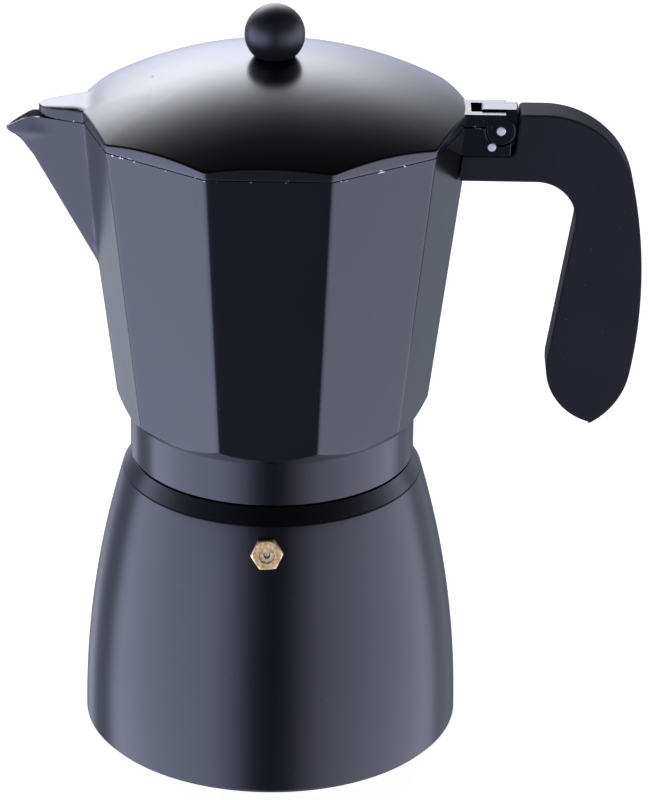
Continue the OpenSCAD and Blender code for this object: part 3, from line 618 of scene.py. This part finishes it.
def rim_height(wall, angle):
    """Height where a wall meets the rim: level, then drooping towards the lip; a few fixed-point steps."""
    z = np.full_like(angle, SEAM_Z)
    for _ in range(12):
        ahead = np.maximum(-wall(angle, z) * np.cos(angle) - POUR_X, 0)
        z = SEAM_Z - POUR_SLOPE * smooth_max(ahead, 0 * ahead, 0.3) + POUR_SLOPE * 0.15
    return z


def walls(wall, start_z, low_rows, high_rows):
    """Rows of a chamber wall: shares of the height below the split, then shares from there to the rim."""
    split, mean_start = 208.0, 120
    z = np.concatenate([start_z[None] + (split - start_z[None]) * low_rows[:, None],
                        split + 0 * start_z[None] + 0 * high_rows[:, None]])
    z_mean = np.concatenate([mean_start + (split - mean_start) * low_rows,
                             split + (SEAM_Z - split) * high_rows])
    angle = chamber_angles(junction_at(spout_depth(z_mean), SHARE * corner_r(z_mean)))
    top = rim_height(wall, angle[-1])
    z[len(low_rows):] = split + (top - split) * high_rows[:, None]
    r = wall(angle, z)
    return np.stack([r * np.cos(angle), r * np.sin(angle), z], 2), angle


def chamber():
    """Collar, cone up to the scalloped foot of the facets, walls, rim, inside, floor, seat and thread."""
    low_rows = np.concatenate([np.linspace(0, 0.46, 12), np.linspace(0.5, 0.56, 8), np.linspace(0.6, 1, 14)])
    high_rows = np.linspace(0, 1, 26)[1:]
    high_rows = 1 - (1 - high_rows) ** 1.25
    flat_angle = chamber_angles(np.zeros(1))[0]
    g = SHARE * facets(flat_angle)
    cone = COLLAR_R - 3 - (COLLAR_TOP - 3)           # cone: r = z + cone
    crease = (corner_r(0) * g - cone) / (1 - TAPER * g)
    outside, angle = walls(outer_wall, crease, low_rows, high_rows)
    count = outside.shape[1]

    def ring(r, z, a=None):
        a = angle[0] if a is None else a
        return np.stack([r * np.cos(a), r * np.sin(a), z + 0 * a], 1)

    collar = [ring(r, z) for r, z in fillet([(BORE_R, COLLAR_Z + 0.5), (BORE_R + 0.5, COLLAR_Z),
                                             (COLLAR_R, COLLAR_Z), (COLLAR_R, COLLAR_TOP)], [0, 0.5])]
    steps = np.linspace(0.0, 1, 8)[1:-1]
    cone_rows = [ring(COLLAR_TOP + cone + t * (crease - COLLAR_TOP), COLLAR_TOP + t * (crease - COLLAR_TOP))
                 for t in steps]
    lacquered = np.concatenate([np.stack(collar + cone_rows), outside])
    inside, in_angle = walls(inner_wall, np.full(count, CHAMBER_FLOOR), low_rows, high_rows)
    inside = inside[::-1]
    lip_edge = outside[-1:] * 0.65 + inside[:1] * 0.35
    floor_rows = [inside[-1] * [k, k, 1] for k in (0.98, 0.8, 0.6, 0.4, 0.25)]
    under = fillet([(COLUMN_R, CHAMBER_FLOOR), (COLUMN_R, VAULT_Z), (VAULT_R, VAULT_Z), (VAULT_EDGE_R, SEAT_Z),
                    (SEAT_R, SEAT_Z), (SEAT_R, RECESS_Z), (BORE_R, RECESS_Z), (BORE_R, RECESS_Z - 0.3)],
                   [0, 0, 0, 0.2, 0, 0])
    bore_z = np.linspace(RECESS_Z - 0.3, COLLAR_Z + 0.5, 40)
    r = BORE_R + (FEMALE_CREST - BORE_R) * thread(in_angle[-1][None] % (2 * np.pi) + 0 * bore_z[:, None],
                                                  bore_z[:, None], SHOULDER_Z + 3.7, 2.2)
    a = in_angle[-1]
    bore = np.stack([r * np.cos(a), r * np.sin(a), bore_z[:, None] + 0 * a], 2)
    bore[-1] = lacquered[0]
    bare = np.concatenate([inside, np.stack(floor_rows + [ring(p, q, a) for p, q in under]), bore[1:]])
    return skin("chamber_shell", [
        (lacquered, LACQUER, False),
        (np.concatenate([outside[-1:], lip_edge, inside[:1]]), LACQUER, False),
        (bare, ALUMINIUM, False)], "collector", "black_lacquer", "upper_chamber", sharp=28)


def hinge_lug():
    """Block under the hinge: two cheeks with round pockets for the prongs, a slotted middle, a knuckle."""
    x0, x1, z0, z1 = SEAM_R - 8, SEAM_R + 12.5, SEAM_Z - 9.6, SEAM_Z
    pocket = PRONG_R + 0.3
    mouth = np.degrees(np.arccos((x1 - PIN[0]) / pocket))
    brim = np.degrees(np.arcsin((z1 - PIN[2]) / pocket))
    cheek = np.concatenate([[(x0, z0), (x1, z0)], arc((PIN[0], PIN[2]), pocket, -mouth, -180 - brim, 24),
                            [(x0, z1)]])
    end_low, end_high = SEAM_R + 14.05, SEAM_R + 14.95
    knuckle = fillet([(x0, z1 - 0.5), (x0, z0), (x1 - 1.2, z0), (end_low, z0 + 3), (end_high, KNUCKLE_TOP),
                      (SEAM_R + 2.7, KNUCKLE_TOP), (SEAM_R + 2.7, z1), (x0, z1), (x0, z1 - 0.5)],
                     [0, 0.6, 0.8, 1.0, 0.6, 0, 0])[:-1]
    slot_top, slot_x = PIN[2] - 2.25, SEAM_R + 3.5
    core = np.array([(x0, z0), (slot_x, z0), (slot_x, slot_top), (end_low + 0.2, slot_top),
                     (end_high - 0.06, SEAM_Z + 4.4), (end_high - 0.6, SEAM_Z + 5.19),
                     (SEAM_R + 3.2, SEAM_Z + 5.19), (SEAM_R + 2.71, SEAM_Z + 4.6),
                     (SEAM_R + 2.71, z1), (x0, z1)])
    grids = []
    for outline, near, far, edge in ((cheek, 4.1, HINGE_HALF, 0.35), (knuckle, SLOT_HALF, 4.12, 0.3)):
        grids.append((slab(outline, -far, -near, edge, 0), LACQUER, True))
        grids.append((slab(outline, near, far, 0, edge), LACQUER, True))
    grids.append((slab(core, -SLOT_HALF, SLOT_HALF), LACQUER, True))
    return skin("hinge_lug", grids, "collector", "black_lacquer", "upper_chamber", sharp=30)


# ==== lid =================================================================================
def lid_top(x, y, inset, dome_inset):
    """Height of the lid: dome, or the flat cover over the spout, edge + crown (1 - (y / half width)^6)."""
    dome = DOME_Z + np.sqrt(np.maximum((DOME_R - dome_inset) ** 2 - x ** 2 - y ** 2, 1.0))
    half_w = np.maximum(FLANK * (-LIP_X + x) - inset / np.cos(np.arctan(FLANK)), 0.5)
    ahead = x + COVER_FRONT
    edge = SEAM_Z + COVER_EDGE + COVER_RISE * ahead - inset
    side = np.minimum(np.abs(y) / half_w, 1)
    cover = edge + COVER_CROWN * (1 - side ** 6) - 2 * np.maximum(np.abs(y) - half_w, 0)
    cover = np.where(x < COVER_BACK, cover, 0)
    return smooth_max(dome, cover, 1.6) - 0.8 * np.exp(-((dome - cover) / 1.6) ** 2)


def lid_plan(angle, z, inset):
    """Plan outline: facets that flare with height, or the V of the spout's cover with its flat front."""
    flat = facets(angle) * (SHARE * (SEAM_R + 0.1 + LID_TAPER * (z - LID_Z)) - inset)
    v = wedge(angle, -LIP_X - inset / np.sin(np.arctan(FLANK)) * 0.55)
    c = np.maximum(-np.cos(angle), 0.2)
    front = (COVER_FRONT - inset) / c
    v = np.where(v > 1, (np.maximum(v, 1) ** -24.0 + front ** -24.0) ** (-1 / 24), 0)
    return smooth_max(flat, v, 0.3) - 0.08


def lid_rows(angle, inset, dome_inset, spread):
    """Rows from the lid's low edge to its rim and in to the crown; spread is each row's share of the radius."""
    z = np.full_like(angle, LID_Z)
    for _ in range(15):
        r = lid_plan(angle, z, inset)
        z = lid_top(r * np.cos(angle), r * np.sin(angle), inset, dome_inset)
    low = [(lid_plan(angle, LID_Z + (z - 0.3 - LID_Z) * t, inset), LID_Z + (z - 0.3 - LID_Z) * t)
           for t in (0.0, 0.12, 0.5, 0.9, 1.0)]
    low[0] = (low[0][0] - 0.2, low[0][1])
    rows = [np.stack([q * np.cos(angle), q * np.sin(angle), h], 1) for q, h in low]
    for share in spread:
        q = (r - 0.3) * share
        x, y = q * np.cos(angle), q * np.sin(angle)
        rows.append(np.stack([x, y, lid_top(x, y, inset, dome_inset)], 1))
    return np.stack(rows)


def lid():
    """Outer skin from the low edge to the crown, and the inner skin back down, joined along the low edge."""
    angle = chamber_angles(np.array([junction_at(-LIP_X, SHARE * SEAM_R)]))[0]
    extra = np.pi + np.concatenate([-np.linspace(0.04, 0.15, 14)[::-1], np.linspace(0.04, 0.15, 14)])
    angle = np.sort(np.concatenate([angle, extra]) % (2 * np.pi))
    angle = angle[np.concatenate([np.diff(angle) > 8e-4, [True]])]
    outer = lid_rows(angle, 0.0, 0.0, np.concatenate([np.linspace(1, 0.55, 60), np.linspace(0.52, 0, 18)]))
    inner = lid_rows(angle, COVER_WALL, LID_WALL,
                     np.concatenate([np.linspace(1, 0.55, 24), np.linspace(0.5, 0, 8)]))
    return skin("lid_shell", [
        (np.concatenate([inner[:1], outer]), LACQUER, False),
        (inner[::-1], ALUMINIUM, False)], "lid", "black_lacquer", "lid", sharp=38)


def lid_strap():
    """Strap cast on the lid's back edge, forked into two prongs with round ends about the hinge pin."""
    back = (SEAM_R - 10, LID_Z + 0.05)
    lobe = arc((PIN[0], PIN[2]), PRONG_R, -180 + 15, 35, 30)
    prong = np.concatenate([[back, (PIN[0] - PRONG_R + 0.05, back[1])], lobe, [(PIN[0] + 1.5, STRAP_TOP)],
                            [(back[0], STRAP_TOP)]])
    middle = np.array([back, (SEAM_R - 0.8, back[1]), (SEAM_R - 0.8, STRAP_TOP + 0.01),
                       (back[0], STRAP_TOP + 0.01)])
    return skin("lid_strap", [
        (slab(prong, -HINGE_HALF, -PRONG_IN, 0.35, 0.2), LACQUER, True),
        (slab(prong, PRONG_IN, HINGE_HALF, 0.2, 0.35), LACQUER, True),
        (slab(middle, -PRONG_IN - 0.8, PRONG_IN + 0.8), LACQUER, True)],
        "lid", "black_lacquer", "lid", sharp=30)


def knob():
    """Ball cut flat where it sits on the dome, bored for its threaded insert."""
    r = (KNOB_HIGH[0] - KNOB_LOW[0]) / 2
    centre = KNOB_HIGH[2] - r
    seat = KNOB_LOW[2]
    low = np.degrees(np.arcsin((seat - centre) / r))
    ball = arc((0, centre), r, low + 2, 90, 48)
    bore_r, bore_top = 3.32, seat + 9.5       # room for the threaded insert
    bore = [(0, bore_top), (bore_r, bore_top), (bore_r, seat), (ball[0][0] - 0.5, seat)]
    return skin("knob_ball", [(lathe(np.concatenate([bore, ball]), 128), KNOB_BLACK, False)],
                "lid", "knob_plastic", "knob")


# ==== pins and handle =====================================================================
def pin(name, centre, r, length, node):
    """Rod along Y with a small chamfer on both ends."""
    h = length / 2
    rod = lathe([(0, -h), (r - 0.25, -h), (r, -h + 0.25), (r, h - 0.25), (r - 0.25, h), (0, h)], 48)
    x, y, z = np.moveaxis(rod, 2, 0)
    grid = np.stack([centre[0] + x, z, centre[2] + y], 2)
    return skin(name, [(grid, STEEL, False)], "collector", "steel", node)


def handle():
    """Flat moulded handle: arm over the finger gap, crown, long back, pointed toe; notched under the hinge."""
    top = HANDLE_TOP
    crown_r, back_r, heel_r, toe_r, palm_r = 31, 174.75, 26.7, 20.6, 13.4
    back_high, back_low = 12.5, -9.9          # the long back arc's ends, in degrees
    arm = 23.5                                # height of the arm
    crown = np.array([SEAM_R + 23.5, top - crown_r])
    high, low = np.radians([back_high, back_low])
    back = crown - (back_r - crown_r) * np.array([np.cos(high), np.sin(high)])
    heel = back + (back_r - heel_r) * np.array([np.cos(low), np.sin(low)])
    toe = heel + [18.6, -2.6]
    palm = np.array([crown[0] - 2, top - arm - palm_r])
    notch_z, notch_x = SEAM_Z - 10.1, SEAM_R + 14.3
    outline = np.concatenate([
        arc((SEAM_R + 16.7, top - 1.5), 1.5, 180, 90, 8), arc(crown, crown_r, 90, back_high, 36),
        arc(back, back_r, back_high, back_low, 36), arc(heel, heel_r, back_low, -58, 24),
        arc(toe, toe_r, 257.8, 171.6, 40), arc(palm, palm_r, -8.4, 90, 32),
        [(palm[0] - 10, top - arm), (SEAM_R - 12, top - arm), (SEAM_R - 12, notch_z)],
        arc((notch_x - 2.5, notch_z + 2.5), 2.5, -90, 0, 10)])
    body = slab(outline, -7, 7, 0.9, 0.9, middles=(-3, 0, 3))
    body[..., 0] = np.maximum(body[..., 0], corner_r(body[..., 2]) + 0.42 - 0.325 * np.abs(body[..., 1]))
    tongue = fillet([(SEAM_R + 4, notch_z - 3), (notch_x + 0.5, notch_z - 3), (notch_x + 0.5, PIN[2] - 2.55),
                     (SEAM_R + 4, PIN[2] - 2.55), (SEAM_R + 4, notch_z - 3)], [0.4, 0.8, 0.8])[:-1]
    return skin("handle_grip", [(body, HANDLE_BLACK, True), (slab(tongue, -2, 2), HANDLE_BLACK, True)],
                "collector", "handle_plastic", "handle", sharp=40)


# ==== floor, light and camera =============================================================
def studio_floor():
    """Pale level sheet under the pot; it gives light back to the pot's underside but isn't mirrored in it."""
    mesh = bpy.data.meshes.new("floor")
    reach = 6.0
    corners = [(-reach, -reach, 0), (reach, -reach, 0), (reach, reach, 0), (-reach, reach, 0)]
    mesh.from_pydata(corners, [], [(0, 1, 2, 3)])
    material, tree, place, shader = finish("pale_paper_sweep")
    fibre = add(tree, "TexNoise", {"Vector": place, "Scale": per_mm(3)})
    tone = add(tree, "Mix", {"Factor": fibre.outputs[0], "A": srgb("C6C6C6"), "B": srgb("CACACA")},
               data_type="RGBA")
    tree.links.new(tone.outputs["Result"], shader.inputs["Base Color"])
    shader.inputs["Roughness"].default_value = 0.9
    shader.inputs["Specular IOR Level"].default_value = 0.0
    shader.inputs["Emission Color"].default_value = (1, 1, 1, 1)
    shader.inputs["Emission Strength"].default_value = 0.95
    mesh.materials.append(material)
    floor = bpy.data.objects.new("floor", mesh)
    bpy.context.scene.collection.objects.link(floor)
    floor.visible_glossy = False


def direction(azimuth, elevation):
    """Unit vector towards an azimuth (from +X towards +Y) and an elevation, in degrees."""
    a, e = np.radians([azimuth, elevation])
    return (np.cos(a) * np.cos(e), np.sin(a) * np.cos(e), np.sin(e))


# The light seen round the horizon, mostly two tall softboxes, left and right of the pot:
# azimuth in degrees, then red, green and blue brightness.
SOFTBOXES = [
    (0, 2.3, 2.3, 3.05), (22, 2.2, 2.2, 2.85), (28, 1.9, 1.95, 2.55), (36, 0.5, 0.55, 0.72),
    (48, 0.45, 0.5, 0.6), (58, 0.5, 0.54, 0.65), (68, 0.2, 0.22, 0.3), (90, 0.2, 0.22, 0.3),
    (120, 0.35, 0.38, 0.48),
    (138, 0.3, 0.32, 0.46), (151, 0.35, 0.4, 0.6), (162, 2.5, 2.65, 3.75), (184, 2.75, 2.9, 4.1),
    (206, 2.5, 2.7, 3.9), (222, 2.55, 2.75, 4.05), (236, 2.3, 2.45, 3.6), (250, 1.2, 1.25, 1.85),
    (260, 0.2, 0.22, 0.35), (268, 0.06, 0.09, 0.16), (281, 0.08, 0.1, 0.18), (292, 0.75, 0.72, 1.0),
    (302, 1.35, 1.33, 1.85), (313, 1.68, 1.7, 2.35), (326, 1.95, 1.95, 2.7), (345, 2.25, 2.25, 3.05),
]
BRIGHTEST = 5.0                   # a colour ramp holds 0 to 1, so its colours are shares of this
BACK_LIGHTS = [                   # azimuth, elevation, spread in degrees, red, green and blue brightness
    (87, 29, 11.0, (4.2, 4.25, 4.65)),
    (112, 28, 11.0, (5.9, 6.0, 6.4)),
    (97, 6, 12.0, (1.6, 1.65, 2.0)),
    (121, -25, 5.0, (0.65, 0.7, 0.8)),
]
ROOM_GLOW = 0.02                  # dim light from everywhere else
FADE_LOW, FADE_HIGH = 2, 20       # elevations between which the softboxes' band fades out, in degrees


def studio_light():
    """World seen only in reflections: the softboxes' band round the horizon, which fades out above it,
    and round back lights, each exp((cos of the angle off its centre - 1) / spread^2).
    The eye sees plain white behind the pot."""
    world = bpy.data.worlds.new("studio")
    bpy.context.scene.world = world
    world.use_nodes = True
    tree = world.node_tree
    tree.nodes.clear()
    where = add(tree, "TexCoord").outputs["Generated"]
    part = add(tree, "SeparateXYZ", {0: where})
    turn = add(tree, "Math", {0: part.outputs[1], 1: part.outputs[0]}, operation="ARCTAN2")
    turn = add(tree, "Math", {0: turn.outputs[0], 1: 2 * np.pi}, operation="DIVIDE")
    turn = add(tree, "Math", {0: turn.outputs[0]}, operation="FRACT")
    band = add(tree, "ValToRGB", {0: turn.outputs[0]})
    stops = band.color_ramp.elements
    stops[1].position = 1.0
    for azimuth, *_ in SOFTBOXES[1:]:
        stops.new(azimuth / 360)
    for stop, (_, *colour) in zip(stops, SOFTBOXES + SOFTBOXES[:1]):
        stop.color = (*[c / BRIGHTEST for c in colour], 1)
    low = add(tree, "MapRange", {"Value": part.outputs[2], "From Min": np.sin(np.radians(FADE_LOW)),
                                 "From Max": np.sin(np.radians(FADE_HIGH)), "To Min": BRIGHTEST, "To Max": 0.0},
              interpolation_type="SMOOTHSTEP")
    total = add(tree, "VectorMath", {0: band.outputs[0], "Scale": low.outputs[0]}, operation="SCALE")
    for azimuth, elevation, spread, colour in BACK_LIGHTS:
        facing = add(tree, "VectorMath", {0: where, 1: direction(azimuth, elevation)}, operation="DOT_PRODUCT")
        sharp = 1 / np.radians(spread) ** 2
        fall = add(tree, "Math", {0: facing.outputs["Value"], 1: sharp, 2: -sharp}, operation="MULTIPLY_ADD")
        share = add(tree, "Math", {0: fall.outputs[0]}, operation="EXPONENT")
        lit = add(tree, "VectorMath", {0: colour, "Scale": share.outputs[0]}, operation="SCALE")
        total = add(tree, "VectorMath", {0: total.outputs[0], 1: lit.outputs[0]}, operation="ADD")
    total = add(tree, "VectorMath", {0: total.outputs[0], 1: (ROOM_GLOW,) * 3}, operation="ADD")
    light = add(tree, "Background", {"Color": total.outputs[0]})
    plain = add(tree, "Background", {"Color": (1, 1, 1, 1)})
    seen = add(tree, "LightPath")
    mixed = add(tree, "MixShader", {"Fac": seen.outputs["Is Camera Ray"], 1: light.outputs[0],
                                    2: plain.outputs[0]})
    add(tree, "OutputWorld", {"Surface": mixed.outputs[0]})


def studio_camera():
    """Long lens in front of the valve, a little to its right, looking down at the pot."""
    turn, pan, pitch, roll = 0.02665, 0.01572, 0.41545, 0.01305   # radians
    distance, height = 1123.03, 613.13
    ahead = np.array([np.sin(pan) * np.cos(pitch), np.cos(pan) * np.cos(pitch), -np.sin(pitch)])
    right = np.array([np.cos(pan), -np.sin(pan), 0])
    up = np.cross(right, ahead)
    right, up = right * np.cos(roll) + up * np.sin(roll), up * np.cos(roll) - right * np.sin(roll)
    axes = np.stack([right, up, -ahead, [0, -distance * MM, height * MM]], 1)
    c, s = np.cos(turn), np.sin(turn)
    axes = np.array([[c, -s, 0], [s, c, 0], [0, 0, 1]]) @ axes
    data = bpy.data.cameras.new("camera")
    data.lens, data.sensor_width, data.sensor_fit = 199.2, 36, "HORIZONTAL"
    data.clip_start, data.clip_end = 0.05, 20
    camera = bpy.data.objects.new("camera", data)
    bpy.context.scene.collection.objects.link(camera)
    camera.matrix_world = Matrix([*map(list, axes), [0, 0, 0, 1]])
    bpy.context.scene.camera = camera


studio_camera()
studio_light()
studio_floor()
bpy.context.scene.view_settings.view_transform = "Standard"

boiler()
valve()
chamber()
hinge_lug()
lid()
lid_strap()
knob()
handle()
pin("hinge_rod", PIN, 1.55, 16.5, "hinge_pin")
pin("handle_rod", HANDLE_PIN, 1.5, 16.3, "handle_pin")

CARRIED_OVER = {                  # CAD nodes shown as they are, with their finish
    ALUMINIUM: ("funnel_basket", "funnel_tube", "riser_column"),
    SIEVE: ("funnel_sieve", "filter_plate"),
    STEEL: ("valve_plunger", "valve_spring", "knob_screw", "knob_washer"),
    BRASS: ("knob_insert",),
    RUBBER: ("gasket",),
}
for material, names in CARRIED_OVER.items():
    for name in names:
        mesh = frame["nodes"][name].data
        mesh.materials.clear()
        mesh.materials.append(material)
